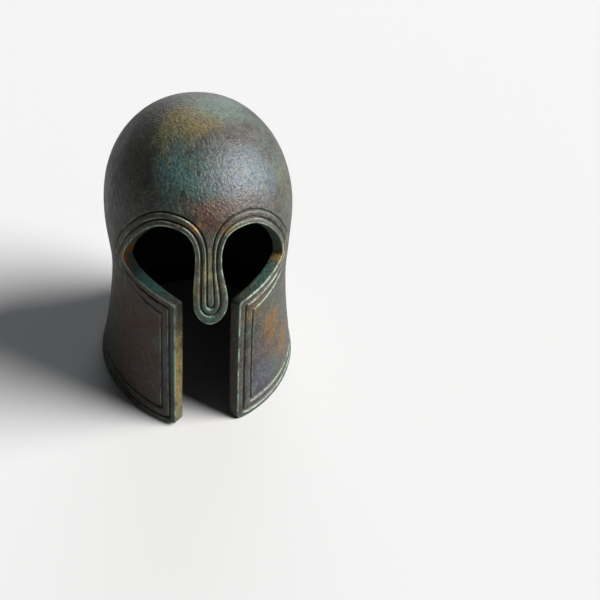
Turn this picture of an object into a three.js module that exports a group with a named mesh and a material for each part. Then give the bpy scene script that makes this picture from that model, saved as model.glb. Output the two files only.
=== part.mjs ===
// A Corinthian helmet, cast in bronze as a hand-sized miniature. It is one hollow shell: a dome, a nose
// guard between two eye openings, and two cheek guards with a slit between them. Two rounded bands, each
// with a groove beside it, follow the whole edge. Millimetres, +Z up. The face looks towards -Y, and the
// rim stands on z = 0 with the origin in the middle of its footprint.
import * as THREE from "three";

// ---- Driving dimensions ----
const HEIGHT = 120.5; // rim to crown
const WALL = 4.8; // thickness of the casting
const SPLAY = 1.3; // how far each side of the slit leans inwards through the wall
const DOME_Z = 78; // where the sides turn into the dome
const WAIST_Z = 50; // narrowest height of the neck and cheeks
const DOME_POWER = 2.13; // fullness of the dome's profile
const BACK_POWER = 2.1; // fullness of the plan behind the ears
const FLARE_POWER = 1.6; // how late the flare towards the rim begins

// Plan of the outer surface at three heights: half widths, reach forward on each side, reach back, and
// fullness in front. The casting is a little uneven: right is +X, the wearer's left.
const SECTIONS = {
  rim: { right: 43.0, left: 42.8, frontRight: 53.8, frontLeft: 55.9, back: 52.0, power: 1.82 },
  waist: { right: 37.6, left: 36.7, frontRight: 48.8, frontLeft: 48.8, back: 44.6, power: 1.88 },
  temple: { right: 38.2, left: 39.0, frontRight: 46.3, frontLeft: 46.3, back: 47.2, power: 2.0 },
};

// Half of the face opening in front view, from the nose guard's tip to the foot of the cheek guard.
const TIP = [0, 52.3];
const NOSE_SIDE = [6.9, 62]; // widest place of the nose guard
const NOSE_NECK = [5.2, 81]; // narrowest place of the nose guard
const BROW_TOP = [15, 93.4];
const EYE_CORNER_TOP = [31.95, 70.4]; // the eye's outer corner is a short bend between these two places
const EYE_CORNER_LOW = [31.2, 67.3];
const CHEEK_CORNER = [12.5, 59.3];
const CHEEK_FOOT = [12.9, 0];
const LEAN = 1.05; // how far the nose guard's lower end stands to the +X side
const LEAN_Z = [80, 60]; // the lean grows between these heights
const MIDDLE_SHIFT = 0.6; // how far to +X the grooves' middle runs on the nose guard's upper part
const MIDDLE_SHIFT_Z = [62, 77]; // the shift grows between these heights
const CORNER_ROUND = 0.8; // length taken off each side of the cheek guard's upper corner
const FOOT_ROUND = 1.6; // length taken off each side of the cheek guard's foot
const LEVEL_RIM = 8; // below this height the wall's direction turns level, so that the rim stays flat

// Lengths over which the grooves' mitres fade along the top edge, the slit's sides and the rim.
const MITRE_FADE = { top: 26, front: 28, rim: 40 };

// How far each groove lies from the edge, and where the plain surface starts.
const GROOVES = {
  brow: { inner: 2.5, outer: 5.5, end: 6.6 },
  browEnd: { inner: 2.7, outer: 5.7, end: 6.8 },
  lid: { inner: 4.2, outer: 8.6, end: 9.7 },
  cheek: { inner: 3.3, outer: 8.2, end: 9.3 },
  frontRight: { inner: 3.6, outer: 7.7, end: 8.8 },
  frontLeft: { inner: 2.9, outer: 6.7, end: 7.8 },
  rim: { inner: 2.6, outer: 6.6, end: 7.7 },
};
const NOSE_SHARES = { inner: 0.44, outer: 0.79, end: 0.9 }; // shares of the way to the nose guard's middle

// Height of the relief across the bands. Place 0 is the edge, 1 and 2 are the grooves, and 3 is where the
// plain surface starts.
const RELIEF = [
  { place: 0, height: -0.35 },
  { place: 0.4, height: 0.15 },
  { place: 0.78, height: 0.05 },
  { place: 1, height: -0.75 },
  { place: 1.2, height: 0.1 },
  { place: 1.8, height: 0.05 },
  { place: 2, height: -0.75 },
  { place: 2.6, height: 0 },
];

// Spacing of the facets, and how finely a curve is traced to measure along it.
const SPACING = { top: 2.5, front: 5.2, rim: 4.6, outside: 5.4, inside: 7.2 };
const CLEARANCE = 0.6; // facet corners keep this share of the spacing from the bands
const ROW_SHARE = Math.sqrt(3) / 2; // height of a row of facets, as a share of the spacing
const BEND_SHARE = 0.6; // the outer groove counts by this share where the edge bends round a hollow
const TRACE_STEPS = 120;
const SETTLE_ROUNDS = 8;
const FEWEST_ROUND = 5; // facet corners in the row nearest the crown, at least
const ON_CIRCLE = 1e-12; // below this, four corners count as lying on one circle

const COLOUR = 0x3f4038; // dark patinated bronze

// ---- The outer surface ----
const ease = (t) => THREE.MathUtils.smoothstep(t, 0, 1);
const mix = (a, b, t) => a + (b - a) * t;

// Plan of the outer surface at a height.
function sectionAt(z) {
  const up = ease((z - WAIST_Z) / (DOME_Z - WAIST_Z));
  const down = Math.max((WAIST_Z - z) / WAIST_Z, 0) ** FLARE_POWER;
  const { rim, waist, temple } = SECTIONS;
  const size = (key) => waist[key] + (temple[key] - waist[key]) * up + (rim[key] - waist[key]) * down;
  return Object.fromEntries(Object.keys(waist).map((key) => [key, size(key)]));
}

// Zero on the outer surface and negative inside it.
function level({ x, y, z }) {
  const section = sectionAt(Math.min(z, DOME_Z));
  const power = y < 0 ? section.power : BACK_POWER;
  const across = Math.abs(x) / (x > 0 ? section.right : section.left);
  const front = x > 0 ? section.frontRight : section.frontLeft;
  const along = Math.abs(y) / (y < 0 ? front : section.back);
  const plan = (across ** power + along ** power) ** (1 / power);
  const rise = Math.max((z - DOME_Z) / (HEIGHT - DOME_Z), 0);
  return (plan ** DOME_POWER + rise ** DOME_POWER) ** (1 / DOME_POWER) - 1;
}

function slope(point) {
  const step = 0.02;
  const change = (axis) => {
    const [ahead, behind] = [point.clone(), point.clone()];
    ahead[axis] += step;
    behind[axis] -= step;
    return (level(ahead) - level(behind)) / (2 * step);
  };
  return new THREE.Vector3(change("x"), change("y"), change("z"));
}

// Direction square to the casting, turning level towards the rim.
function outward(point) {
  const direction = slope(point).normalize();
  direction.z *= ease(point.z / LEVEL_RIM);
  return direction.normalize();
}

// Moves a point onto the outer surface, along the slope or, if flat, at its own height.
function settle(point, flat = false) {
  const settled = point.clone();
  for (let round = 0; round < SETTLE_ROUNDS; round++) {
    const direction = slope(settled);
    if (flat) direction.z = 0;
    settled.addScaledVector(direction, -level(settled) / direction.lengthSq());
  }
  return settled;
}

// A point round the upright axis, from the front towards +X.
function onCircle(angle, radius, z) {
  return new THREE.Vector3(radius * Math.sin(angle), -radius * Math.cos(angle), z);
}

// The outer surface behind a place in front view.
function onFront(x, z) {
  const point = new THREE.Vector3(x, -sectionAt(Math.min(z, DOME_Z)).frontRight, z);
  for (let round = 0; round < SETTLE_ROUNDS; round++) point.y -= level(point) / slope(point).y;
  return point;
}

// ---- The edge ----
// Curves of half the top edge, each by its points in front view. The nose guard's rows lean, and their
// grooves head for its middle. The other rows go from one of the grooves' distances to another, and the
// first of them starts with the nose guard's.
const { brow, browEnd, lid, cheek } = GROOVES;
const TOP_EDGE = [
  { points: [TIP, [3.9, 52.3], [6.9, 56.5], NOSE_SIDE], nose: true },
  { points: [NOSE_SIDE, [6.9, 69], [5.2, 74], NOSE_NECK], nose: true },
  { points: [NOSE_NECK, [5.2, 90.5], [8.2, 93.4], BROW_TOP], to: brow, leans: true },
  { points: [BROW_TOP, [22.5, 93.4], [30.2, 82.4], EYE_CORNER_TOP], from: brow, to: browEnd },
  { points: [EYE_CORNER_TOP, [32.2, 68.8], [32, 68.3], EYE_CORNER_LOW], from: browEnd, to: lid },
  { points: [EYE_CORNER_LOW, [28.7, 64.4], [21, 62.6], CHEEK_CORNER], from: lid, to: cheek },
];

const shareBetween = (z, [start, finish]) => ease((z - start) / (finish - start));
const leanAt = (z) => LEAN * shareBetween(z, LEAN_Z);
const middleAt = (z) => leanAt(z) + MIDDLE_SHIFT * shareBetween(z, MIDDLE_SHIFT_Z);

// A traced place: where it is, which way the grooves lie, and how far off they are.
function nosePlace(x, z) {
  const height = Math.max(z, NOSE_SIDE[1]);
  const place = onFront(x + leanAt(z), z);
  const aim = onFront(middleAt(height), height).sub(place);
  const far = aim.length();
  const { inner, outer, end } = NOSE_SHARES;
  return { place, aim: aim.normalize(), inner: inner * far, outer: outer * far, end: end * far };
}

function blendGrooves(from, to, t) {
  const blend = (key) => mix(from[key], to[key], t);
  return { inner: blend("inner"), outer: blend("outer"), end: blend("end") };
}

// Half of the top edge, from the nose guard's tip to the cheek guard's upper corner.
function traceHalfTop(side) {
  const neck = nosePlace(side * NOSE_NECK[0], NOSE_NECK[1]);
  return TOP_EDGE.flatMap(({ points, nose, leans, from = neck, to }, row) => {
    const curve = new THREE.CubicBezierCurve(...points.map(([x, z]) => new THREE.Vector2(x, z)));
    const traced = curve.getSpacedPoints(TRACE_STEPS).map(({ x, y: z }, i) => {
      if (nose) return nosePlace(side * x, z);
      const place = onFront(side * x + (leans ? leanAt(z) : 0), z);
      return { place, ...blendGrooves(from, to, ease(i / TRACE_STEPS)) };
    });
    return row ? traced.slice(1) : traced;
  });
}

// The front edge of a cheek guard, from its upper corner down to its foot.
function traceFront(side) {
  const grooves = side > 0 ? GROOVES.frontRight : GROOVES.frontLeft;
  return Array.from({ length: TRACE_STEPS + 1 }, (_, i) => {
    const [x, z] = CHEEK_CORNER.map((from, axis) => mix(from, CHEEK_FOOT[axis], i / TRACE_STEPS));
    return { place: onFront(side * x, z), ...grooves };
  });
}

// The rim, from the foot on the +X side round the back to the other foot.
function traceRim(start, finish) {
  const turn = (point) => Math.atan2(point.x, -point.y);
  const steps = 4 * TRACE_STEPS;
  return Array.from({ length: steps + 1 }, (_, i) => {
    const angle = mix(turn(start), turn(finish) + 2 * Math.PI, i / steps);
    return { place: settle(onCircle(angle, SECTIONS.rim.right, 0), true), ...GROOVES.rim };
  });
}

// Distance from the edge of a place across the bands.
function distance({ inner, outer, end }, place) {
  const distances = [0, inner, outer, end];
  const before = Math.min(Math.floor(place), 2);
  return mix(distances[before], distances[before + 1], place - before);
}

// One stretch of the edge between two corners, with the material on its left as seen from outside.
class Stretch {
  constructor(traced, { spacing, fade, rounds, splay = 0 }) {
    this.traced = traced;
    this.spacing = spacing;
    this.fade = fade; // the grooves' mitres at the two corners fade over this length
    this.rounds = rounds; // lengths rounded off at the start and at the finish
    this.splay = splay;
    this.lengths = [0];
    traced.forEach((item, i) => {
      const before = traced[Math.max(i - 1, 0)].place;
      const after = traced[Math.min(i + 1, traced.length - 1)].place;
      item.along = after.clone().sub(before).normalize();
      item.aim ??= slope(item.place).cross(item.along).normalize();
      if (i) this.lengths.push(this.lengths[i - 1] + item.place.distanceTo(before));
    });
    this.length = this.lengths.at(-1);
    this.mitres = { start: RELIEF.map(() => 0), finish: RELIEF.map(() => 0) };
  }

  // The edge at a length from the start.
  at(length) {
    const wanted = THREE.MathUtils.clamp(length, 0, this.length);
    const found = this.lengths.findIndex((far) => far >= wanted);
    const i = Math.max(found, 1);
    const t = (wanted - this.lengths[i - 1]) / (this.lengths[i] - this.lengths[i - 1]);
    const [a, b] = [this.traced[i - 1], this.traced[i]];
    const turned = (key) => a[key].clone().lerp(b[key], t).normalize();
    const place = a.place.clone().lerp(b.place, t);
    return { place, aim: turned("aim"), along: turned("along"), ...blendGrooves(a, b, t) };
  }

  // Lengths at which the stretch has facet corners, evenly spaced along its edge or its outer groove.
  steps() {
    const { traced, lengths, length, rounds, spacing } = this;
    const groove = traced.map(({ place, aim, outer }) => place.clone().addScaledVector(aim, outer));
    const travelled = [0];
    for (let i = 1; i < traced.length; i++) {
      const bent = BEND_SHARE * groove[i].distanceTo(groove[i - 1]);
      const along = Math.max(lengths[i] - lengths[i - 1], bent);
      travelled.push(travelled[i - 1] + along);
    }
    const count = Math.round(travelled.at(-1) / spacing);
    const even = Array.from({ length: count - 1 }, (_, k) => {
      const wanted = ((k + 1) / count) * travelled.at(-1);
      return lengths[travelled.findIndex((far) => far >= wanted)];
    });
    const [start, finish] = [rounds[0], length - rounds[1]];
    const middle = even.filter((far) => far > start + spacing / 2 && far < finish - spacing / 2);
    return [start, ...middle, finish];
  }

  // The relief's places above the edge at a length, and the inner end of the wall there.
  column(length) {
    const early = Math.max(1 - length / this.fade, 0);
    const late = Math.max(1 - (this.length - length) / this.fade, 0);
    const edge = this.at(length);
    const relief = RELIEF.map(({ place, height }, k) => {
      const item = this.at(length + early * this.mitres.start[k] + late * this.mitres.finish[k]);
      const point = settle(item.place.clone().addScaledVector(item.aim, distance(item, place)));
      return point.addScaledVector(outward(point), height);
    });
    const inside = edge.place.clone().addScaledVector(outward(edge.place), -WALL);
    return { relief, inside: inside.addScaledVector(edge.aim, -this.splay) };
  }
}

// The column at the corner where one stretch ends and the next starts. It also gives both their mitres.
function corner(before, after, round) {
  const [a, b] = [before.at(before.length), after.at(0)];
  const meeting = a.place;
  const relief = RELIEF.map(({ place, height }, k) => {
    const far = distance(a, place);
    const slide = (distance(b, place) - far * a.aim.dot(b.aim)) / b.aim.dot(a.along);
    const offset = a.along.clone().multiplyScalar(slide).addScaledVector(a.aim, far);
    before.mitres.finish[k] = slide;
    after.mitres.start[k] = offset.dot(b.along);
    const point = settle(meeting.clone().add(offset));
    return point.addScaledVector(outward(point), height);
  });
  const cut = b.along.clone().sub(a.along).multiplyScalar(round / 4);
  relief[0].add(cut);
  const inside = meeting.clone().add(cut).addScaledVector(outward(meeting), -WALL);
  inside.addScaledVector(a.aim, -before.splay).addScaledVector(b.aim, -after.splay);
  return { relief, inside };
}

// ---- Filling the surface inside a loop ----
// A flat map of the shell, seen from above with the rim outermost, that keeps angles nearly true.
function onMap({ x, y, z }) {
  const radius = SECTIONS.temple.back;
  const side = Math.atan2(x, -y);
  const fallen = Math.atan2(Math.hypot(x, y) / radius, Math.max((z - DOME_Z) / (HEIGHT - DOME_Z), 0));
  const far = Math.tan(fallen / 2) * Math.exp(Math.max(DOME_Z - z, 0) / radius);
  return new THREE.Vector2(far * Math.sin(side), -far * Math.cos(side));
}

// Points on the outer surface in level rows from the rim to the crown.
function spreadPoints(spacing) {
  const rows = [];
  const rowHeight = spacing * ROW_SHARE;
  for (let z = rowHeight; z < DOME_Z; z += rowHeight) rows.push({ z, part: 1 });
  const domeRows = Math.round(((Math.PI / 2) * (HEIGHT - DOME_Z)) / rowHeight);
  for (let i = 1; i < domeRows; i++) {
    const angle = (Math.PI / 2) * (1 - i / domeRows);
    const rise = Math.cos(angle) ** (2 / DOME_POWER);
    rows.push({ z: mix(DOME_Z, HEIGHT, rise), part: Math.sin(angle) ** (2 / DOME_POWER) });
  }
  const points = rows.flatMap(({ z, part }, row) => {
    const section = sectionAt(Math.min(z, DOME_Z));
    const around = Math.PI * part * (section.right + (section.frontRight + section.back) / 2);
    const count = Math.max(Math.round(around / spacing), FEWEST_ROUND);
    return Array.from({ length: count }, (_, i) => {
      const angle = ((i + 0.5 * (row % 2)) / count) * 2 * Math.PI;
      return settle(onCircle(angle, part * section.right, z), true);
    });
  });
  return [...points, new THREE.Vector3(0, 0, HEIGHT)];
}

function isInside({ x, y }, contour) {
  let inside = false;
  contour.forEach((a, i) => {
    const b = contour[(i + 1) % contour.length];
    if (a.y > y !== b.y > y && x < a.x + ((y - a.y) / (b.y - a.y)) * (b.x - a.x)) inside = !inside;
  });
  return inside;
}

// Triangles over a contour and the points inside it, with well-shaped corners.
function triangulate(contour, extra) {
  const points = [...contour, ...extra];
  const size = points.length;
  const across = new Map(); // from a directed edge to the third corner of the triangle on its left
  const key = (a, b) => a * size + b;
  const ends = (edge) => [Math.floor(edge / size), edge % size];
  const sides = (a, b, c) => [[a, b, c], [b, c, a], [c, a, b]];
  const add = (...corners) => sides(...corners).forEach(([p, q, r]) => across.set(key(p, q), r));
  const drop = (...corners) => sides(...corners).forEach(([p, q]) => across.delete(key(p, q)));
  const turn = (a, b, c) => (b.x - a.x) * (c.y - a.y) - (b.y - a.y) * (c.x - a.x);
  const circled = (a, b, c, d) => {
    const [p, q, r] = [a, b, c].map((i) => points[i].clone().sub(points[d]));
    return p.lengthSq() * q.cross(r) - q.lengthSq() * p.cross(r) + r.lengthSq() * p.cross(q) > ON_CIRCLE;
  };
  // Swaps the edge of two triangles while that makes them rounder.
  function improve(a, b) {
    const [c, d] = [across.get(key(a, b)), across.get(key(b, a))];
    if (c === undefined || d === undefined || !circled(a, b, c, d)) return;
    drop(a, b, c);
    drop(b, a, d);
    add(c, a, d);
    add(d, b, c);
    [[a, d], [d, b], [b, c], [c, a]].forEach(([p, q]) => improve(p, q));
  }
  THREE.ShapeUtils.triangulateShape(contour, []).forEach(([a, b, c]) => add(a, b, c));
  [...across.keys()].forEach((edge) => improve(...ends(edge)));
  const isLeft = (p, a, b) => turn(points[a], points[b], points[p]) >= 0;
  const holds = (p, corners) => sides(...corners).every(([a, b]) => isLeft(p, a, b));
  for (let p = contour.length; p < size; p++) {
    const [edge, third] = [...across].find(([side, c]) => holds(p, [...ends(side), c]));
    const corners = [...ends(edge), third];
    drop(...corners);
    sides(...corners).forEach(([a, b]) => add(a, b, p));
    sides(...corners).forEach(([a, b]) => improve(a, b));
  }
  const triangles = [...across].map(([edge, c]) => [...ends(edge), c]);
  return triangles.filter(([a, b, c]) => a < b && a < c);
}

// A patch over a loop of the shell, with points spread inside it, at a depth behind the outer surface.
function patch(loop, spacing, depth) {
  const contour = loop.map(onMap);
  const spread = spreadPoints(spacing)
    .map((point) => point.clone().addScaledVector(outward(point), -depth))
    .filter((point) => isInside(onMap(point), contour))
    .filter((point) => loop.every((other) => other.distanceTo(point) > CLEARANCE * spacing));
  return { points: [...loop, ...spread], triangles: triangulate(contour, spread.map(onMap)) };
}

// ---- The helmet ----
function edgeColumns() {
  const half = traceHalfTop(1);
  const otherHalf = traceHalfTop(-1).reverse();
  const fronts = [1, -1].map(traceFront);
  const rim = traceRim(fronts[0].at(-1).place, fronts[1].at(-1).place);
  const like = (key, ...rounds) => ({ spacing: SPACING[key], fade: MITRE_FADE[key], rounds });
  const stretches = [
    new Stretch([...otherHalf, ...half.slice(1)], like("top", CORNER_ROUND, CORNER_ROUND)),
    new Stretch(fronts[0], { ...like("front", CORNER_ROUND, FOOT_ROUND), splay: SPLAY }),
    new Stretch(rim, like("rim", FOOT_ROUND, FOOT_ROUND)),
    new Stretch(fronts[1].reverse(), { ...like("front", FOOT_ROUND, CORNER_ROUND), splay: SPLAY }),
  ];
  const corners = stretches.map((stretch, i) => {
    const after = stretches[(i + 1) % stretches.length];
    return corner(stretch, after, stretch.rounds[1]);
  });
  return stretches.flatMap((stretch, i) => {
    const columns = stretch.steps().map((far) => stretch.column(far));
    return [...columns, corners[i]];
  });
}

function shellGeometry() {
  const columns = edgeColumns();
  const innerRow = columns.map(({ inside }) => inside);
  const rows = [innerRow, ...RELIEF.map((_, k) => columns.map(({ relief }) => relief[k]))];
  const positions = [];
  const indices = [];
  const place = (points) => points.map((point) => positions.push(...point.toArray()) / 3 - 1);
  const rowIds = rows.map(place);
  for (let k = 1; k < rowIds.length; k++) {
    rowIds[k].forEach((_, i) => {
      const next = (i + 1) % columns.length;
      const [a, b, c, d] = [rowIds[k - 1][i], rowIds[k - 1][next], rowIds[k][next], rowIds[k][i]];
      indices.push(a, b, c, a, c, d);
    });
  }
  const cover = (loop, ids, spacing, depth) => {
    const { points, triangles } = patch(loop, spacing, depth);
    const all = [...ids, ...place(points.slice(loop.length))];
    for (const corners of triangles) {
      const facing = depth ? corners.toReversed() : corners;
      indices.push(...facing.map((i) => all[i]));
    }
  };
  cover(rows.at(-1), rowIds.at(-1), SPACING.outside, 0);
  cover(rows[0], rowIds[0], SPACING.inside, WALL);
  const geometry = new THREE.BufferGeometry();
  geometry.setAttribute("position", new THREE.Float32BufferAttribute(positions, 3));
  geometry.setIndex(indices);
  return geometry;
}

// Stands the geometry on z = 0 with the middle of its box over the origin.
function centre(geometry) {
  geometry.computeBoundingBox();
  const { min, max } = geometry.boundingBox;
  geometry.translate(-(min.x + max.x) / 2, -(min.y + max.y) / 2, -min.z);
  geometry.computeVertexNormals();
  return geometry;
}

const bronze = new THREE.MeshStandardMaterial({ color: COLOUR, metalness: 0.7, roughness: 0.55 });
const helmet = new THREE.Mesh(centre(shellGeometry()), bronze);
helmet.name = "helmet_shell";

const object = new THREE.Group();
object.add(helmet);

export default object;
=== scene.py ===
"""The looks of a cast bronze Corinthian helmet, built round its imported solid."""

import math

import bpy
import numpy as np
from mathutils import Matrix, Vector, noise
from mathutils.geometry import delaunay_2d_cdt


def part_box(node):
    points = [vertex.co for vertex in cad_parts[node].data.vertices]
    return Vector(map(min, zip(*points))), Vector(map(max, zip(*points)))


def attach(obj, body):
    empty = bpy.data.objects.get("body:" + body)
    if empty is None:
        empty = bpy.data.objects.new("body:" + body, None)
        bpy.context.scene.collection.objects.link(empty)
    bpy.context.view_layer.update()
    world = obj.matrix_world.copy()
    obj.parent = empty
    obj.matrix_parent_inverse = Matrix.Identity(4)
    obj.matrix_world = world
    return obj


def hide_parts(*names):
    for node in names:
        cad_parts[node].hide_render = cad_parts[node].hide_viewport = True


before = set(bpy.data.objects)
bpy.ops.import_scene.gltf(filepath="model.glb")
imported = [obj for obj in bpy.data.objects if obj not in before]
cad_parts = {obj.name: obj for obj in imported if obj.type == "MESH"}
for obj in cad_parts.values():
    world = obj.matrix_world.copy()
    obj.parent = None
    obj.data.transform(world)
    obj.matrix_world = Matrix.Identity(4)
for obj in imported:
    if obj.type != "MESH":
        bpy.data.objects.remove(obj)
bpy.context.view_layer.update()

MM = 0.001
NODE = "helmet_shell"

# ---- The casting's dimensions, in millimetres, the same as the solid's ----
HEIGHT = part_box(NODE)[1].z / MM  # rim to crown
WALL = 4.8
SPLAY = 1.3  # how far each side of the slit leans inwards through the wall
DOME_Z = 78  # where the sides turn into the dome
WAIST_Z = 50
DOME_POWER = 2.13
BACK_POWER = 2.1
FLARE_POWER = 1.6
SECTIONS = {
    "rim": dict(right=43.0, left=42.8, front_right=53.8, front_left=55.9, back=52.0, power=1.82),
    "waist": dict(right=37.6, left=36.7, front_right=48.8, front_left=48.8, back=44.6, power=1.88),
    "temple": dict(right=38.2, left=39.0, front_right=46.3, front_left=46.3, back=47.2, power=2.0),
}

TIP = (0, 52.3)
NOSE_SIDE = (6.9, 62)
NOSE_NECK = (5.2, 81)
BROW_TOP = (15, 93.4)
EYE_CORNER_TOP = (31.95, 70.4)
EYE_CORNER_LOW = (31.2, 67.3)
CHEEK_CORNER = (12.5, 59.3)
CHEEK_FOOT = (12.9, 0)
LEAN = 1.05  # how far the nose guard's lower end stands to the +X side
LEAN_Z = (80, 60)
MIDDLE_SHIFT = 0.6  # how far to +X the grooves' middle runs on the nose guard's upper part
MIDDLE_SHIFT_Z = (62, 77)
LEVEL_RIM = 8  # below this height the wall's direction turns level

# Distance of each groove from the edge, and of the plain surface.
GROOVES = {
    "brow": (2.5, 5.5, 6.6),
    "brow_end": (2.7, 5.7, 6.8),
    "lid": (4.2, 8.6, 9.7),
    "cheek": (3.3, 8.2, 9.3),
    "front_right": (3.6, 7.7, 8.8),
    "front_left": (2.9, 6.7, 7.8),
    "rim": (2.6, 6.6, 7.7),
}
NOSE_SHARES = (0.44, 0.79, 0.9)  # shares of the way to the nose guard's middle
MITRE_FADE = {"top": 26, "front": 28, "rim": 40}
CORNER_ROUND = 1.3  # length rounded off each side of the cheek guard's upper corner
FOOT_ROUND = 2.2  # length rounded off each side of the cheek guard's foot

# ---- The fine relief ----
EDGE_RADIUS = 0.5  # rounding of the outer edge
INNER_RADIUS = 0.7  # rounding of the inner edge
GROOVE_HALF = 0.85  # half a groove's width, shoulders included
GROOVE_SHARE = 0.42  # of the way between two grooves, at most
GROOVE_DEPTH = 0.8
BAND_RISE = 0.12  # how far the bands stand proud of the plain surface
BAND_CROWN = 0.1  # how far a band's middle stands above its shoulders

SHOULDER_AT = 0.8  # where a groove's rubbed shoulder, partly a painted highlight, lies, as a share of the way out from its middle
SHOULDER_REACH = 0.3
GROOVE_TAIL = 0.8  # share of the way to the plain surface that the second groove may take

# ---- How fine the mesh is ----
SPACING = {"edge": 0.62, "outside": 1.0, "inside": 2.0}
BEND_SHARE = 0.6  # how far the outer groove's own length counts in spacing the columns
ROUND_ROWS = 5  # rows over a rounded edge
WALL_ROWS = 7  # rows over the flat of the cut wall, its ends included
BAND_ROWS = 3
HALF_GROOVE = (0.12, 0.26, 0.42, 0.6, 0.8, 1)  # rows from a groove's middle to its end, as shares
TRACE_STEPS = 160  # steps along each curve of the edge
SETTLE_ROUNDS = 7
SLOPE_STEP = 0.01
CLEARANCE = 0.6  # share of the spacing kept free beside a loop
FEWEST_ROUND = 6  # points in the smallest ring round the crown
ROUND_LOSS = 0.35  # how much less a corner is rounded for each millimetre from the edge
LEAST_ROUND = 0.9
MAP_MERGE = 1e-9  # points of the flat map closer than this are one


# ---- The outer surface ----
def ease(t):
    """A smooth step from 0 to 1."""
    t = np.clip(t, 0, 1)
    return t * t * (3 - 2 * t)


def section_at(z):
    """Plan of the outer surface at the given heights."""
    up = ease((z - WAIST_Z) / (DOME_Z - WAIST_Z))
    down = np.maximum((WAIST_Z - z) / WAIST_Z, 0) ** FLARE_POWER
    rim, waist, temple = SECTIONS["rim"], SECTIONS["waist"], SECTIONS["temple"]
    return {key: size + (temple[key] - size) * up + (rim[key] - size) * down for key, size in waist.items()}


def level(points):
    """Zero on the outer surface and negative inside it."""
    x, y, z = points.T
    section = section_at(np.minimum(z, DOME_Z))
    power = np.where(y < 0, section["power"], BACK_POWER)
    front = np.where(x > 0, section["front_right"], section["front_left"])
    across = np.abs(x) / np.where(x > 0, section["right"], section["left"])
    along = np.abs(y) / np.where(y < 0, front, section["back"])
    plan = (across**power + along**power) ** (1 / power)
    rise = np.maximum((z - DOME_Z) / (HEIGHT - DOME_Z), 0)
    return (plan**DOME_POWER + rise**DOME_POWER) ** (1 / DOME_POWER) - 1


def slope(points):
    """The change of level each way at the points."""
    steps = np.eye(3) * SLOPE_STEP
    changes = [(level(points + step) - level(points - step)) / (2 * SLOPE_STEP) for step in steps]
    return np.stack(changes, axis=1)


def unit(vectors):
    return vectors / np.linalg.norm(vectors, axis=-1, keepdims=True)


def outward(points):
    """Direction square to the casting, turning level towards the rim."""
    direction = unit(slope(points))
    direction[:, 2] *= ease(points[:, 2] / LEVEL_RIM)
    return unit(direction)


def settle(points, flat=False):
    """Moves points onto the outer surface, along the slope or, if flat, at their own height."""
    settled = np.array(points, float)
    for _ in range(SETTLE_ROUNDS):
        direction = slope(settled)
        if flat:
            direction[:, 2] = 0
        square = (direction**2).sum(axis=1)
        settled -= direction * (level(settled) / square)[:, None]
    return settled


def on_front(x, z):
    """The outer surface behind places in front view."""
    x, z = np.broadcast_arrays(np.asarray(x, float), z)
    points = np.stack([x, -section_at(np.minimum(z, DOME_Z))["front_right"], z], axis=1)
    for _ in range(SETTLE_ROUNDS):
        points[:, 1] -= level(points) / slope(points)[:, 1]
    return points


# ---- The edge ----
def travelled(points):
    """Length along a line of points, from its start to each of them."""
    steps = np.linalg.norm(np.diff(points, axis=0), axis=1)
    return np.concatenate([[0], np.cumsum(steps)])


def sample(places, lengths, values):
    """Values between those of a traced line, at other lengths along it."""
    flat = values.reshape(len(values), -1)
    found = np.stack([np.interp(places, lengths, column) for column in flat.T], axis=-1)
    return found.reshape(np.shape(places) + values.shape[1:])


def bezier(points):
    """Evenly spaced places along a cubic curve."""
    t = np.linspace(0, 1, 4 * TRACE_STEPS + 1)[:, None]
    a, b, c, d = np.array(points, float)
    curve = (1 - t) ** 3 * a + 3 * (1 - t) ** 2 * t * b + 3 * (1 - t) * t**2 * c + t**3 * d
    lengths = travelled(curve)
    return sample(np.linspace(0, lengths[-1], TRACE_STEPS + 1), lengths, curve)


def share_between(z, ends):
    """How far heights have come from the first end to the second, eased."""
    start, finish = ends
    return ease((z - start) / (finish - start))


def lean_at(z):
    """How far to +X the nose guard stands at the given heights."""
    return LEAN * share_between(z, LEAN_Z)


def nose_row(x, z):
    """Places on the nose guard's edge, with their grooves towards its middle."""
    height = np.maximum(z, NOSE_SIDE[1])
    place = on_front(x + lean_at(z), z)
    middle = on_front(lean_at(height) + MIDDLE_SHIFT * share_between(height, MIDDLE_SHIFT_Z), height)
    far = np.linalg.norm(middle - place, axis=1)
    return place, unit(middle - place), far[:, None] * np.array(NOSE_SHARES)


def plain_row(x, z, start, finish, leans=False):
    """Places on the rest of the top edge, with grooves square to it."""
    t = ease(np.linspace(0, 1, len(z)))[:, None]
    place = on_front(x + (lean_at(z) if leans else 0), z)
    return place, np.full_like(place, np.nan), np.array(start) * (1 - t) + np.array(finish) * t


def trace_half_top(side):
    """Half of the top edge, from the nose guard's tip to the cheek guard's upper corner."""
    neck = (NOSE_NECK[0] - side * MIDDLE_SHIFT) * np.array(NOSE_SHARES)
    g = GROOVES
    rows = [
        ([TIP, (3.9, 52.3), (6.9, 56.5), NOSE_SIDE], None),
        ([NOSE_SIDE, (6.9, 69), (5.2, 74), NOSE_NECK], None),
        ([NOSE_NECK, (5.2, 90.5), (8.2, 93.4), BROW_TOP], (neck, g["brow"], True)),
        ([BROW_TOP, (22.5, 93.4), (30.2, 82.4), EYE_CORNER_TOP], (g["brow"], g["brow_end"])),
        ([EYE_CORNER_TOP, (32.2, 68.8), (32, 68.3), EYE_CORNER_LOW], (g["brow_end"], g["lid"])),
        ([EYE_CORNER_LOW, (28.7, 64.4), (21, 62.6), CHEEK_CORNER], (g["lid"], g["cheek"])),
    ]
    traced = []
    for points, grooves in rows:
        x, z = bezier(points).T
        row = nose_row(side * x, z) if grooves is None else plain_row(side * x, z, *grooves)
        traced.append([part[1:] if traced else part for part in row])
    return [np.concatenate(parts) for parts in zip(*traced)]


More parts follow.
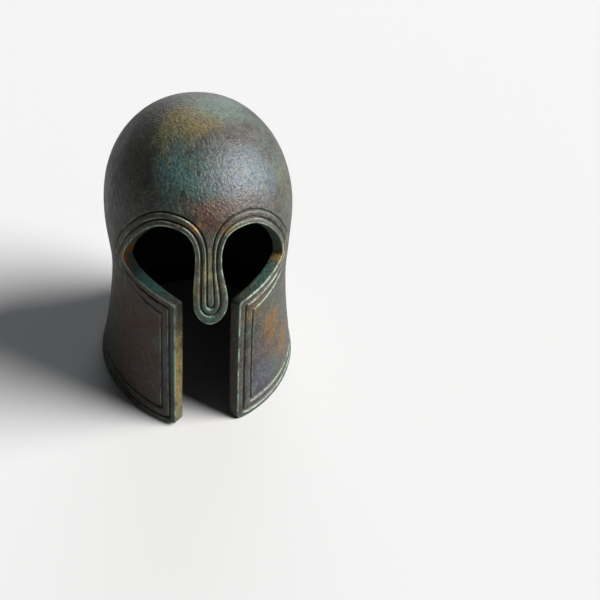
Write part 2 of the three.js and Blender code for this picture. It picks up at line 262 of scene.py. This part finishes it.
def trace_front(side):
    """The front edge of a cheek guard, from its upper corner down to its foot."""
    x, z = np.linspace(CHEEK_CORNER, CHEEK_FOOT, TRACE_STEPS + 1).T
    grooves = GROOVES["front_right" if side > 0 else "front_left"]
    return plain_row(side * x, z, grooves, grooves)


def trace_rim(start, finish):
    """The rim, from the foot on the +X side round the back to the other foot."""
    first, last = (math.atan2(point[0], -point[1]) for point in (start, finish))
    angle = np.linspace(first, last + 2 * math.pi, 5 * TRACE_STEPS)
    guess = np.stack([np.sin(angle), -np.cos(angle), np.zeros_like(angle)], axis=1)
    place = settle(guess * SECTIONS["rim"]["right"], flat=True)
    grooves = np.broadcast_to(GROOVES["rim"], place.shape).astype(float)
    return place, np.full_like(place, np.nan), grooves


# ---- Rows across the edge ----
def groove_halves(grooves):
    """Half widths of the two grooves, narrower where the bands are."""
    inner, outer, end = (grooves[..., i] for i in range(3))
    first = GROOVE_SHARE * np.minimum(inner, outer - inner)
    second = np.minimum(GROOVE_SHARE * (outer - inner), GROOVE_TAIL * (end - outer))
    return np.minimum(GROOVE_HALF, first), np.minimum(GROOVE_HALF, second)


def row_table():
    """Rows from the inner face over the cut wall and the bands to the plain surface.

    Each has a distance from the edge, as a function of the grooves and the splay, a height over the outer
    surface, and its shares of groove, rubbed shoulder with painted highlight, and cut face.
    """
    rows = []

    def add(distance, height, groove=0.0, wear_and_sheen=0.0, cut=0.0):
        rows.append(dict(distance=distance, height=height, groove=groove, wear_and_sheen=wear_and_sheen, cut=cut))

    for turn in np.linspace(math.pi / 2, 0, ROUND_ROWS):
        away = INNER_RADIUS * (1 - math.cos(turn))
        depth = WALL - INNER_RADIUS * (1 - math.sin(turn))
        add(lambda g, splay, a=away, d=depth: a - splay * d / WALL, -depth, cut=math.cos(turn))
    for depth in np.linspace(WALL - INNER_RADIUS, EDGE_RADIUS, WALL_ROWS)[1:-1]:
        add(lambda g, splay, d=depth: -splay * d / WALL, -depth, cut=1)
    for turn in np.linspace(0, math.pi / 2, ROUND_ROWS):
        away = EDGE_RADIUS * (1 - math.cos(turn))
        drop = EDGE_RADIUS * (1 - math.sin(turn))
        add(lambda g, splay, a=away: a, BAND_RISE - drop, wear_and_sheen=math.sin(turn), cut=1 - math.sin(turn))

    def band(start, finish):
        for t in np.linspace(0, 1, BAND_ROWS + 2)[1:-1]:
            height = BAND_RISE + BAND_CROWN * 4 * t * (1 - t)
            add(lambda g, splay, t=t: start(g) * (1 - t) + finish(g) * t, height)

    def groove(middle, half, before, after):
        for u in (*(-part for part in HALF_GROOVE[::-1]), 0, *HALF_GROOVE):
            dip = (1 - abs(u)) ** 1.3 * (1 + 0.6 * abs(u))
            height = (before if u < 0 else after) * (1 - dip) - GROOVE_DEPTH * dip
            wear_and_sheen = max(1 - abs(abs(u) - SHOULDER_AT) / SHOULDER_REACH, 0)
            add(lambda g, splay, u=u: middle(g) + u * half(g), height, groove=dip, wear_and_sheen=wear_and_sheen)

    inner, outer, end = (lambda g, i=i: g[..., i] for i in range(3))
    first_half, second_half = (lambda g, i=i: groove_halves(g)[i] for i in range(2))
    band(lambda g: EDGE_RADIUS, lambda g: inner(g) - first_half(g))
    groove(inner, first_half, BAND_RISE, BAND_RISE)
    band(lambda g: inner(g) + first_half(g), lambda g: outer(g) - second_half(g))
    groove(outer, second_half, BAND_RISE, 0)
    for t in (0.5, 1):
        add(lambda g, splay, t=t: (outer(g) + second_half(g)) * (1 - t) + end(g) * t, 0)
    return rows


ROWS = row_table()
HEIGHTS = np.array([row["height"] for row in ROWS])


class Stretch:
    """One stretch of the edge between two corners, with the material on its left as seen from outside."""

    def __init__(self, traced, fade, rounds, splay=0.0):
        self.place, self.aim, self.grooves = (np.array(part) for part in traced)
        self.fade, self.rounds, self.splay = fade, rounds, splay
        before = np.concatenate([self.place[:1], self.place[:-1]])
        after = np.concatenate([self.place[1:], self.place[-1:]])
        self.along = unit(after - before)
        square = unit(np.cross(slope(self.place), self.along))
        self.aim = np.where(np.isnan(self.aim), square, self.aim)
        self.lengths = travelled(self.place)
        self.length = self.lengths[-1]
        self.mitre_start = np.zeros(len(ROWS))
        self.mitre_finish = np.zeros(len(ROWS))

    def at(self, lengths):
        """Place, aim, direction along and grooves at the given lengths."""
        lengths = np.clip(lengths, 0, self.length)
        kept = (self.place, self.aim, self.along, self.grooves)
        place, aim, along, grooves = (sample(lengths, self.lengths, part) for part in kept)
        return place, unit(aim), unit(along), grooves

    def steps(self):
        """Lengths of the mesh's columns, evenly spaced along the edge or the outer groove."""
        groove = self.place + self.aim * self.grooves[:, 1:2]
        moved = np.maximum(np.diff(self.lengths), BEND_SHARE * np.diff(travelled(groove)))
        counted = np.concatenate([[0], np.cumsum(moved)])
        count = round(counted[-1] / SPACING["edge"])
        return np.interp(np.linspace(0, counted[-1], count + 1)[1:-1], counted, self.lengths)

    def columns(self):
        """The mesh's points between the corners, by column along the edge and row across it."""
        lengths = self.steps()
        early = np.maximum(1 - lengths / self.fade, 0)
        late = np.maximum(1 - (self.length - lengths) / self.fade, 0)
        rows = []
        for k, row in enumerate(ROWS):
            moved = lengths + early * self.mitre_start[k] + late * self.mitre_finish[k]
            place, aim, _, grooves = self.at(moved)
            far = row["distance"](grooves, self.splay)
            point = settle(place + aim * np.broadcast_to(far, len(lengths))[:, None])
            rows.append(point + outward(point) * row["height"])
        return np.stack(rows, axis=1)

    def corner(self, after):
        """The sharp corner with the next stretch, one point for each row. It sets both their mitres."""
        (place, aim, along, grooves) = (part[0] for part in self.at(np.array([self.length])))
        (_, next_aim, next_along, next_grooves) = (part[0] for part in after.at(np.array([0.0])))
        far = np.array([row["distance"](grooves, self.splay) for row in ROWS], float)
        next_far = np.array([row["distance"](next_grooves, after.splay) for row in ROWS], float)
        slide = (next_far - far * (aim @ next_aim)) / (next_aim @ along)
        offset = slide[:, None] * along + far[:, None] * aim
        self.mitre_finish = slide
        after.mitre_start = offset @ next_along
        point = settle(place + offset)
        return point + outward(point) * HEIGHTS[:, None]


def rounded(loop, corner, reach):
    """Rounds a corner of a closed row of points off over so many points each way."""
    ids = (corner + np.arange(-reach, reach + 1)) % len(loop)
    start, middle, finish = loop[ids[0]], loop[corner], loop[ids[-1]]
    t = np.linspace(0, 1, len(ids))[:, None]
    loop[ids] = (1 - t) ** 2 * start + 2 * t * (1 - t) * middle + t**2 * finish


def edge_columns():
    """Points of the bands and the wall, by column round the edge and row across it."""
    half, other = trace_half_top(1), trace_half_top(-1)
    top = [np.concatenate([b[::-1], a[1:]]) for a, b in zip(half, other)]
    right, left = trace_front(1), trace_front(-1)
    rim = trace_rim(right[0][-1], left[0][-1])
    stretches = [
        Stretch(top, MITRE_FADE["top"], CORNER_ROUND),
        Stretch(right, MITRE_FADE["front"], FOOT_ROUND, SPLAY),
        Stretch(rim, MITRE_FADE["rim"], FOOT_ROUND),
        Stretch([part[::-1] for part in left], MITRE_FADE["front"], CORNER_ROUND, SPLAY),
    ]
    corners = [stretch.corner(stretches[(i + 1) % 4]) for i, stretch in enumerate(stretches)]
    columns, at_corner = [], []
    for stretch, corner in zip(stretches, corners):
        columns += [stretch.columns(), corner[None]]
        at_corner.append((sum(map(len, columns)) - 1, stretch.rounds))
    columns = np.concatenate(columns)
    for k, row in enumerate(ROWS):
        far = float(row["distance"](np.array(GROOVES["rim"]), 0.0))
        for place, size in at_corner:
            reach = max(size - ROUND_LOSS * max(far, 0), LEAST_ROUND) / SPACING["edge"]
            rounded(columns[:, k], place, max(round(reach), 1))
    return columns


# ---- Filling the surface inside a loop ----
def on_map(points):
    """A flat map of the shell, seen from above with the rim outermost, that keeps angles nearly true."""
    radius = SECTIONS["temple"]["back"]
    x, y, z = points.T
    side = np.arctan2(x, -y)
    fallen = np.arctan2(np.hypot(x, y) / radius, np.maximum((z - DOME_Z) / (HEIGHT - DOME_Z), 0))
    far = np.tan(fallen / 2) * np.exp(np.maximum(DOME_Z - z, 0) / radius)
    return np.stack([far * np.sin(side), -far * np.cos(side)], axis=1)


def spread_points(spacing):
    """Points on the outer surface in level rows from the rim to the crown."""
    row_height = spacing * math.sqrt(3) / 2
    rows = [(z, 1.0) for z in np.arange(row_height, DOME_Z, row_height)]
    dome_rows = round(math.pi / 2 * (HEIGHT - DOME_Z) / row_height)
    for angle in np.linspace(math.pi / 2, 0, dome_rows + 1)[1:-1]:
        rise = math.cos(angle) ** (2 / DOME_POWER)
        rows.append((DOME_Z + (HEIGHT - DOME_Z) * rise, math.sin(angle) ** (2 / DOME_POWER)))
    guesses = []
    for row, (z, part) in enumerate(rows):
        section = section_at(min(z, DOME_Z))
        around = math.pi * part * (section["right"] + (section["front_right"] + section["back"]) / 2)
        count = max(round(around / spacing), FEWEST_ROUND)
        angle = (np.arange(count) + 0.5 * (row % 2)) / count * 2 * math.pi
        reach = part * section["right"]
        guesses.append(np.stack([reach * np.sin(angle), -reach * np.cos(angle), np.full(count, z)], axis=1))
    return np.vstack([settle(np.vstack(guesses), flat=True), [0, 0, HEIGHT]])


def is_inside(points, contour):
    """Whether points of the map lie inside a closed line of points on it."""
    inside = np.zeros(len(points), bool)
    x, y = points.T
    for (ax, ay), (bx, by) in zip(contour, np.roll(contour, -1, axis=0)):
        if ay != by:
            inside ^= ((ay > y) != (by > y)) & (x < ax + (y - ay) / (by - ay) * (bx - ax))
    return inside


def nearest(points, loop):
    """Distance from each point to the nearest of a loop's points."""
    best = np.full(len(points), np.inf)
    for other in loop:
        best = np.minimum(best, ((points - other) ** 2).sum(axis=1))
    return np.sqrt(best)


def patch(loop, spacing, depth):
    """Points spread inside a loop of the shell, at a depth behind the outer surface, and the triangles."""
    contour = on_map(loop)
    spread = spread_points(spacing)
    spread -= outward(spread) * depth
    spread = spread[is_inside(on_map(spread), contour)]
    spread = spread[nearest(spread, loop) > CLEARANCE * spacing]
    flat = np.vstack([contour, on_map(spread)])
    ring = [(i, (i + 1) % len(loop)) for i in range(len(loop))]
    corners = [Vector(point) for point in flat.tolist()]
    faces = np.array(delaunay_2d_cdt(corners, ring, [], 1, MAP_MERGE, True)[2])
    return spread, faces[is_inside(flat[faces].mean(axis=1), contour)]


# ---- The shell ----
def shell_parts():
    """Points, triangles and the shares of groove, rubbed shoulder with painted highlight, cut face and
    inner face at each point.
    """
    columns = edge_columns()
    count, rows = columns.shape[:2]
    ids = np.arange(count * rows).reshape(count, rows)
    turned = np.roll(ids, -1, axis=0)
    a, b, c, d = ids[:, :-1], turned[:, :-1], turned[:, 1:], ids[:, 1:]
    bands = np.concatenate([np.stack(face, axis=-1).reshape(-1, 3) for face in ((a, b, c), (a, c, d))])
    points, triangles = [columns.reshape(-1, 3)], [bands]
    masks = {key: [np.tile([float(row[key]) for row in ROWS], count)] for key in ("groove", "wear_and_sheen", "cut")}
    masks["inner"] = [np.tile([1.0] + [0.0] * (rows - 1), count)]
    made = count * rows
    for row, spacing, depth in ((rows - 1, SPACING["outside"], 0), (0, SPACING["inside"], WALL)):
        extra, faces = patch(columns[:, row], spacing, depth)
        numbers = np.concatenate([ids[:, row], made + np.arange(len(extra))])
        faces = numbers[faces]
        triangles.append(faces[:, ::-1] if depth else faces)
        points.append(extra)
        for key, parts in masks.items():
            parts.append(np.full(len(extra), 1.0 if key == "inner" and depth else 0.0))
        made += len(extra)
    masks = {key: np.concatenate(parts) for key, parts in masks.items()}
    return np.vstack(points), np.vstack(triangles), masks


def normals_of(points, triangles):
    """Directions square to the mesh at its points."""
    corners = points[triangles]
    faces = np.cross(corners[:, 1] - corners[:, 0], corners[:, 2] - corners[:, 0])
    normals = np.zeros_like(points)
    for k in range(3):
        np.add.at(normals, triangles[:, k], faces)
    return unit(normals)


# Unevenness of the hand-finished casting: how wide the swells are, and how far they move the surface.
SWELLS = [dict(width=26, height=0.16), dict(width=11, height=0.09), dict(width=3.6, height=0.045)]
RIM_KEEP = 2.5  # the swells fade over this height above the rim


def roughen(points, triangles):
    """Adds the casting's unevenness, which leaves the rim flat."""
    moved = np.zeros(len(points))
    for i, swell in enumerate(SWELLS):
        scaled = points / swell["width"] + 17.0 * (i + 1)
        moved += swell["height"] * np.array([noise.noise(Vector(p)) for p in scaled.tolist()])
    keep = np.clip(points[:, 2] / RIM_KEEP, 0, 1)
    return points + normals_of(points, triangles) * (moved * keep)[:, None]


def fitted(points):
    """Points in metres, with their box on the solid's."""
    low, high = (np.array(corner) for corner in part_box(NODE))
    own_low, own_high = points.min(axis=0), points.max(axis=0)
    size = (high - low) / (own_high - own_low)
    return low + (points - own_low) * size, low / MM - own_low


def build_shell():
    """The whole helmet as one piece. It also gives the move from these dimensions to the part's frame."""
    points, triangles, masks = shell_parts()
    points[:, 2] = np.maximum(points[:, 2], 0)
    placed, moved = fitted(roughen(points, triangles))
    mesh = bpy.data.meshes.new("bronze_shell")
    mesh.from_pydata(placed.tolist(), [], triangles.tolist())
    for key, values in masks.items():
        mesh.attributes.new(key, "FLOAT", "POINT").data.foreach_set("value", values.astype(np.float32))
    mesh.polygons.foreach_set("use_smooth", np.ones(len(triangles), bool))
    mesh.update()
    shell = bpy.data.objects.new("bronze_shell", mesh)
    bpy.context.scene.collection.objects.link(shell)
    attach(shell, "root")
    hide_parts(NODE)
    return shell, moved


# ---- Material ----
WANDER_WIDTH, WANDER = 9, 16  # how wide the stains' ragged borders wander, and how far
PIT_WIDTH = 1.6
GRAIN_DEPTH = 0.45
def colour(code):
    """A colour of sRGB digits as linear numbers."""
    parts = [int(code[i : i + 2], 16) / 255 for i in (0, 2, 4)]
    return (*[c / 12.92 if c <= 0.04045 else ((c + 0.055) / 1.055) ** 2.4 for c in parts], 1)


class Graph:
    """Short ways to add nodes to a material."""

    def __init__(self, material):
        self.tree = material.node_tree
        self.tree.nodes.clear()

    def node(self, kind, inputs=None, **settings):
        node = self.tree.nodes.new(kind)
        for key, value in settings.items():
            setattr(node, key, value)
        for key, value in (inputs or {}).items():
            if isinstance(value, bpy.types.NodeSocket):
                self.tree.links.new(value, node.inputs[key])
            else:
                node.inputs[key].default_value = value
        return node

    def math(self, kind, a, b):
        return self.node("ShaderNodeMath", {0: a, 1: b}, operation=kind).outputs[0]

    def vector(self, kind, a, b):
        return self.node("ShaderNodeVectorMath", {0: a, 1: b}, operation=kind).outputs[0]

    def noise(self, place, width, detail=3.0, rough=0.55, seed=0.0):
        """Cloudy numbers round 0.5, with clouds of about this width in millimetres."""
        inputs = {"Vector": place, "Scale": 1 / width, "Detail": detail, "Roughness": rough, "W": seed}
        return self.node("ShaderNodeTexNoise", inputs, noise_dimensions="4D").outputs["Fac"]

    def ramp(self, value, start, finish, low=0.0, high=1.0):
        """Low where the value is at the start, high at the finish, and smooth between."""
        inputs = {"Value": value, "From Min": start, "From Max": finish, "To Min": low, "To Max": high}
        node = self.node("ShaderNodeMapRange", inputs, interpolation_type="SMOOTHSTEP")
        return node.outputs["Result"]

    def mix(self, share, a, b):
        """The first colour, with this share of the second."""
        inputs = {0: share, 6: a, 7: b}
        return self.node("ShaderNodeMix", inputs, data_type="RGBA", clamp_factor=True).outputs[2]

    def mask(self, name):
        """One of the mesh's own shares, from 0 to 1."""
        return self.node("ShaderNodeAttribute", attribute_name=name).outputs["Fac"]

    def stain_and_shade(self, shade, place, row, moved, share=1.0):
        """The colour with one row of stains and painted shade laid over it, in this share of its strength.
        """
        offset = self.vector("SUBTRACT", place, tuple(Vector(row["at"]) + Vector(moved)))
        scaled = self.vector("DIVIDE", offset, row["size"])
        far = self.node("ShaderNodeVectorMath", {0: scaled}, operation="LENGTH").outputs["Value"]
        cover = self.math("MULTIPLY", self.ramp(far, 1.35, 0.1, 0, row["strength"]), share)
        return self.mix(cover, shade, colour(row["tint"]))


# Stains of the patina, and painted shade: where their middles lie from the middle of the rim, how far they
# reach each way, in millimetres, their colours, and how strong they are. A later row lies over an earlier
# one. The dark rows on the -X side, away from the key light, are painted shade, partly over the patina's
# own dark brown.
STAINS_AND_SHADE = [
    # Near-black painted shade over the dome's -X side, which faces away from the key light.
    dict(at=(-38, 8, 86), size=(34, 52, 54), tint="120f0b", strength=0.95),
    dict(at=(-4, -6, 120), size=(13, 12, 8), tint="6e5f34", strength=0.8),
    dict(at=(-14, -13, 116), size=(10, 11, 9), tint="4c5038", strength=0.75),
    dict(at=(9, 4, 119), size=(17, 14, 8), tint="55685f", strength=0.7),
    dict(at=(-9, -29, 109), size=(13, 14, 14), tint="3e5a57", strength=0.85),
    dict(at=(15, -27, 107), size=(17, 15, 14), tint="56656f", strength=0.7),
    dict(at=(-5, -38, 102), size=(9, 8, 7), tint="33504c", strength=0.6),
    dict(at=(31, -16, 94), size=(6, 11, 15), tint="5f6450", strength=0.6),
    dict(at=(33, -12, 106), size=(8, 12, 8), tint="3c4c48", strength=0.6),
    dict(at=(1, -41, 99), size=(12, 9, 8), tint="5a3d2e", strength=0.75),
    dict(at=(17, -36, 98), size=(11, 9, 7), tint="4a3d36", strength=0.6),
    dict(at=(-7, -43, 95), size=(4, 5, 3), tint="96692c", strength=0.8),
    dict(at=(7, -44, 94), size=(4, 5, 3), tint="96602a", strength=0.8),
    # Painted shade, partly dark patina, on the forehead's -X side.
    dict(at=(-18, -38, 88), size=(14, 11, 8), tint="30241a", strength=0.75),
    dict(at=(19, -37, 88), size=(13, 11, 8), tint="5a5862", strength=0.65),
    # Painted shade, partly dark patina, on the -X temple.
    dict(at=(-36, -18, 70), size=(9, 15, 13), tint="2d2a21", strength=0.7),
    dict(at=(-32, -27, 70), size=(4, 7, 5), tint="9a5520", strength=0.9),
    dict(at=(33, -23, 69), size=(5, 7, 5), tint="77572a", strength=0.8),
    dict(at=(1, -51, 76), size=(5, 8, 15), tint="b0ab8a", strength=0.85),
    dict(at=(-5, -50, 72), size=(3, 6, 15), tint="7c6334", strength=0.65),
    dict(at=(1, -53, 57), size=(7, 8, 6), tint="3a7062", strength=0.8),
    # Reddish-brown patina, darkened into painted shade, on the -X cheek guard.
    dict(at=(-27, -35, 36), size=(22, 22, 42), tint="43200f", strength=0.95),
    dict(at=(-15, -45, 30), size=(4, 7, 26), tint="4b5a5c", strength=0.7),
    dict(at=(28, -32, 36), size=(8, 9, 12), tint="73522b", strength=0.75),
    dict(at=(20, -41, 52), size=(7, 7, 8), tint="6a5834", strength=0.55),
    dict(at=(35, -22, 20), size=(7, 9, 12), tint="6b512e", strength=0.6),
    dict(at=(22, -38, 14), size=(12, 11, 16), tint="3c4054", strength=0.65),
]
VIVID, DEEPEN = 1.3, 0.78  # how much more colour, and how much less brightness, the whole patina takes

# The same for the cut faces round the face's opening, which hold their own colours. On the slit's two faces
# they are partly painted light, on the -X face that turns to the key light, and painted shade, on the +X
# face.
CUT_STAINS_LIGHT_AND_SHADE = [
    # Ochre patina, lightened as painted light on the slit's -X face, which faces the key light.
    dict(at=(-12, -46, 24), size=(9, 14, 36), tint="81714e", strength=0.8),
    # Dark brown patina, darkened as painted shade on the slit's +X face, which turns from the key light.
    dict(at=(12, -46, 30), size=(9, 14, 44), tint="33261a", strength=0.9),
    dict(at=(-21, -36, 64), size=(13, 14, 7), tint="486d69", strength=0.9),
    dict(at=(24, -34, 66), size=(12, 12, 7), tint="24463f", strength=0.8),
    dict(at=(33, -24, 69), size=(5, 8, 5), tint="735526", strength=0.8),
    dict(at=(-32, -26, 76), size=(6, 10, 8), tint="7c5226", strength=0.85),
    dict(at=(-33, -26, 69), size=(4, 8, 4), tint="c06c2a", strength=0.95),
]


def patina(g, place, warped, clouds, grain, moved):
    """The colour of the bronze all over, from its ground tones up to the rubbed shoulders. It paints shade
    on the -X side, on the slit's +X face and on the inner face, and paints light on the slit's -X face and,
    partly, on the shoulders.
    """
    fleck = g.noise(place, 2.6, detail=4, rough=0.6, seed=4)
    rub_and_sheen_noise = g.noise(place, 5, detail=5, seed=5)
    groove, wear_and_sheen, cut, inner = (g.mask(name) for name in ("groove", "wear_and_sheen", "cut", "inner"))

    shade = g.mix(g.ramp(g.noise(place, 24, seed=1), 0.4, 0.62), colour("302a25"), colour("343b39"))
    shade = g.mix(g.ramp(clouds, 0.42, 0.62, 0, 0.5), shade, colour("474944"))
    # Patina stains, with painted shade on the -X side away from the key light.
    for row in STAINS_AND_SHADE:
        shade = g.stain_and_shade(shade, warped, row, moved)
    shade = g.mix(g.math("MULTIPLY", cut, 0.75), shade, colour("2e423c"))
    # Cut faces' colours, with painted light and painted shade on the slit's two faces.
    for row in CUT_STAINS_LIGHT_AND_SHADE:
        shade = g.stain_and_shade(shade, warped, row, moved, cut)
    shade = g.mix(g.ramp(fleck, 0.5, 0.68, 0, 0.45), shade, colour("6a6450"))
    shade = g.mix(g.ramp(clouds, 0.5, 0.36, 0, 0.5), shade, colour("1b1612"))
    shade = g.mix(g.ramp(grain, 0.38, 0.6, 0.55, 0), shade, colour("0f0c0a"))

    shade = g.mix(g.math("MULTIPLY", g.ramp(groove, 0.2, 0.9), 0.85), shade, colour("2a1b0f"))
    # Pale rubbed shoulders and edges: wear, partly a painted highlight along the crests.
    rub_and_sheen = g.math("MULTIPLY", g.ramp(wear_and_sheen, 0.25, 0.9), g.ramp(rub_and_sheen_noise, 0.4, 0.6, 0.12, 0.85))
    shade = g.mix(rub_and_sheen, shade, colour("8fa692"))
    # The inner face painted near black: painted shade inside the shell.
    shade = g.mix(g.ramp(inner, 0.2, 0.9, 0, 0.95), shade, colour("170e0a"))
    inputs = {"Saturation": VIVID, "Value": DEEPEN, "Color": shade}
    return g.node("ShaderNodeHueSaturation", inputs).outputs[0]


def bronze_material(moved):
    """The patinated bronze. Places in it are in millimetres, in the part's frame."""
    material = bpy.data.materials.new("patinated_bronze")
    material.use_nodes = True
    g = Graph(material)
    place = g.node("ShaderNodeTexCoord").outputs["Object"]
    place = g.node("ShaderNodeVectorMath", {0: place, "Scale": 1 / MM}, operation="SCALE").outputs[0]
    inputs = {"Vector": place, "Scale": 1 / WANDER_WIDTH, "Detail": 4.0}
    wander = g.node("ShaderNodeTexNoise", inputs).outputs["Color"]
    inputs = {0: g.vector("SUBTRACT", wander, (0.5,) * 3), 1: (WANDER,) * 3, 2: place}
    warped = g.node("ShaderNodeVectorMath", inputs, operation="MULTIPLY_ADD").outputs[0]
    clouds = g.noise(place, 6, detail=6, rough=0.65, seed=2)
    grain = g.noise(place, 1.1, detail=3, rough=0.6, seed=3)

    pits = g.node("ShaderNodeTexVoronoi", {"Vector": warped, "Scale": 1 / PIT_WIDTH}).outputs["Distance"]
    relief = g.math("ADD", grain, g.math("MULTIPLY", g.ramp(pits, 0.0, 0.35), 0.3))
    inputs = {"Strength": 1.0, "Distance": GRAIN_DEPTH * MM, "Height": relief}
    inputs = {
        "Base Color": patina(g, place, warped, clouds, grain, moved),
        "Roughness": g.ramp(clouds, 0.35, 0.65, 0.48, 0.62),
        "Normal": g.node("ShaderNodeBump", inputs).outputs["Normal"],
    }
    shader = g.node("ShaderNodeBsdfPrincipled", inputs)
    shader.inputs["Metallic"].default_value = 0.12
    shader.inputs["Specular IOR Level"].default_value = 0.55
    g.node("ShaderNodeOutputMaterial", {"Surface": shader.outputs[0]})
    return material


# ---- Stage ----
# Places from the middle of the rim, in millimetres.
CAMERA_AT = (-30.4, -365.0, 321.5)
CAMERA_AIM = (41.1, -23.2, 42.1)
CAMERA_ROLL = math.radians(5.18)
CAMERA_LENS = 63.37
CAMERA_FILM = 36
LIGHTS_AIM = (0, 0, 60)
WORLD_TINT, WORLD_STRENGTH = (0.93, 0.96, 1.0, 1), 0.07
FLOOR_REACH = 6000
FLOOR_TINT, FLOOR_ROUGHNESS = (0.375, 0.375, 0.38, 1), 0.9

# The studio's two broad lights: the side each shines from, how wide it looks in radians, and its strength.
LIGHTS = [
    dict(name="key", at=(1480, -260, 1320), spread=0.66, strength=10.4, tint=(1.0, 0.99, 0.97)),
    dict(name="back", at=(300, 1700, 800), spread=0.7, strength=1.3, tint=(0.94, 0.97, 1.0)),
]


def aimed(at, aim, roll=0.0):
    """The placement of a camera or light at one place that faces another, in metres."""
    direction = (Vector(aim) - Vector(at)) * MM
    turn = direction.to_track_quat("-Z", "Y").to_matrix() @ Matrix.Rotation(roll, 3, "Z")
    return Matrix.Translation(Vector(at) * MM) @ turn.to_4x4()


def add_camera(moved):
    data = bpy.data.cameras.new("camera")
    data.lens, data.sensor_width = CAMERA_LENS, CAMERA_FILM
    camera = bpy.data.objects.new("camera", data)
    camera.matrix_world = aimed(Vector(CAMERA_AT) + moved, Vector(CAMERA_AIM) + moved, CAMERA_ROLL)
    bpy.context.scene.collection.objects.link(camera)
    bpy.context.scene.camera = camera


def add_lights():
    for row in LIGHTS:
        data = bpy.data.lights.new(row["name"], "SUN")
        data.angle, data.energy, data.color = row["spread"], row["strength"], row["tint"]
        light = bpy.data.objects.new(row["name"], data)
        light.matrix_world = aimed(row["at"], LIGHTS_AIM)
        bpy.context.scene.collection.objects.link(light)
    world = bpy.data.worlds.new("studio")
    world.use_nodes = True
    background = world.node_tree.nodes["Background"]
    background.inputs["Color"].default_value = WORLD_TINT
    background.inputs["Strength"].default_value = WORLD_STRENGTH
    bpy.context.scene.world = world


def add_floor():
    far = FLOOR_REACH * MM
    mesh = bpy.data.meshes.new("floor")
    mesh.from_pydata([(-far, -far, 0), (far, -far, 0), (far, far, 0), (-far, far, 0)], [], [(0, 1, 2, 3)])
    material = bpy.data.materials.new("floor")
    material.use_nodes = True
    shader = material.node_tree.nodes["Principled BSDF"]
    shader.inputs["Base Color"].default_value = FLOOR_TINT
    shader.inputs["Roughness"].default_value = FLOOR_ROUGHNESS
    mesh.materials.append(material)
    floor = bpy.data.objects.new("floor", mesh)
    bpy.context.scene.collection.objects.link(floor)


shell, moved = build_shell()
shell.data.materials.append(bronze_material(moved))
add_camera(Vector(moved))
add_lights()
add_floor()
bpy.context.scene.view_settings.view_transform = "Standard"
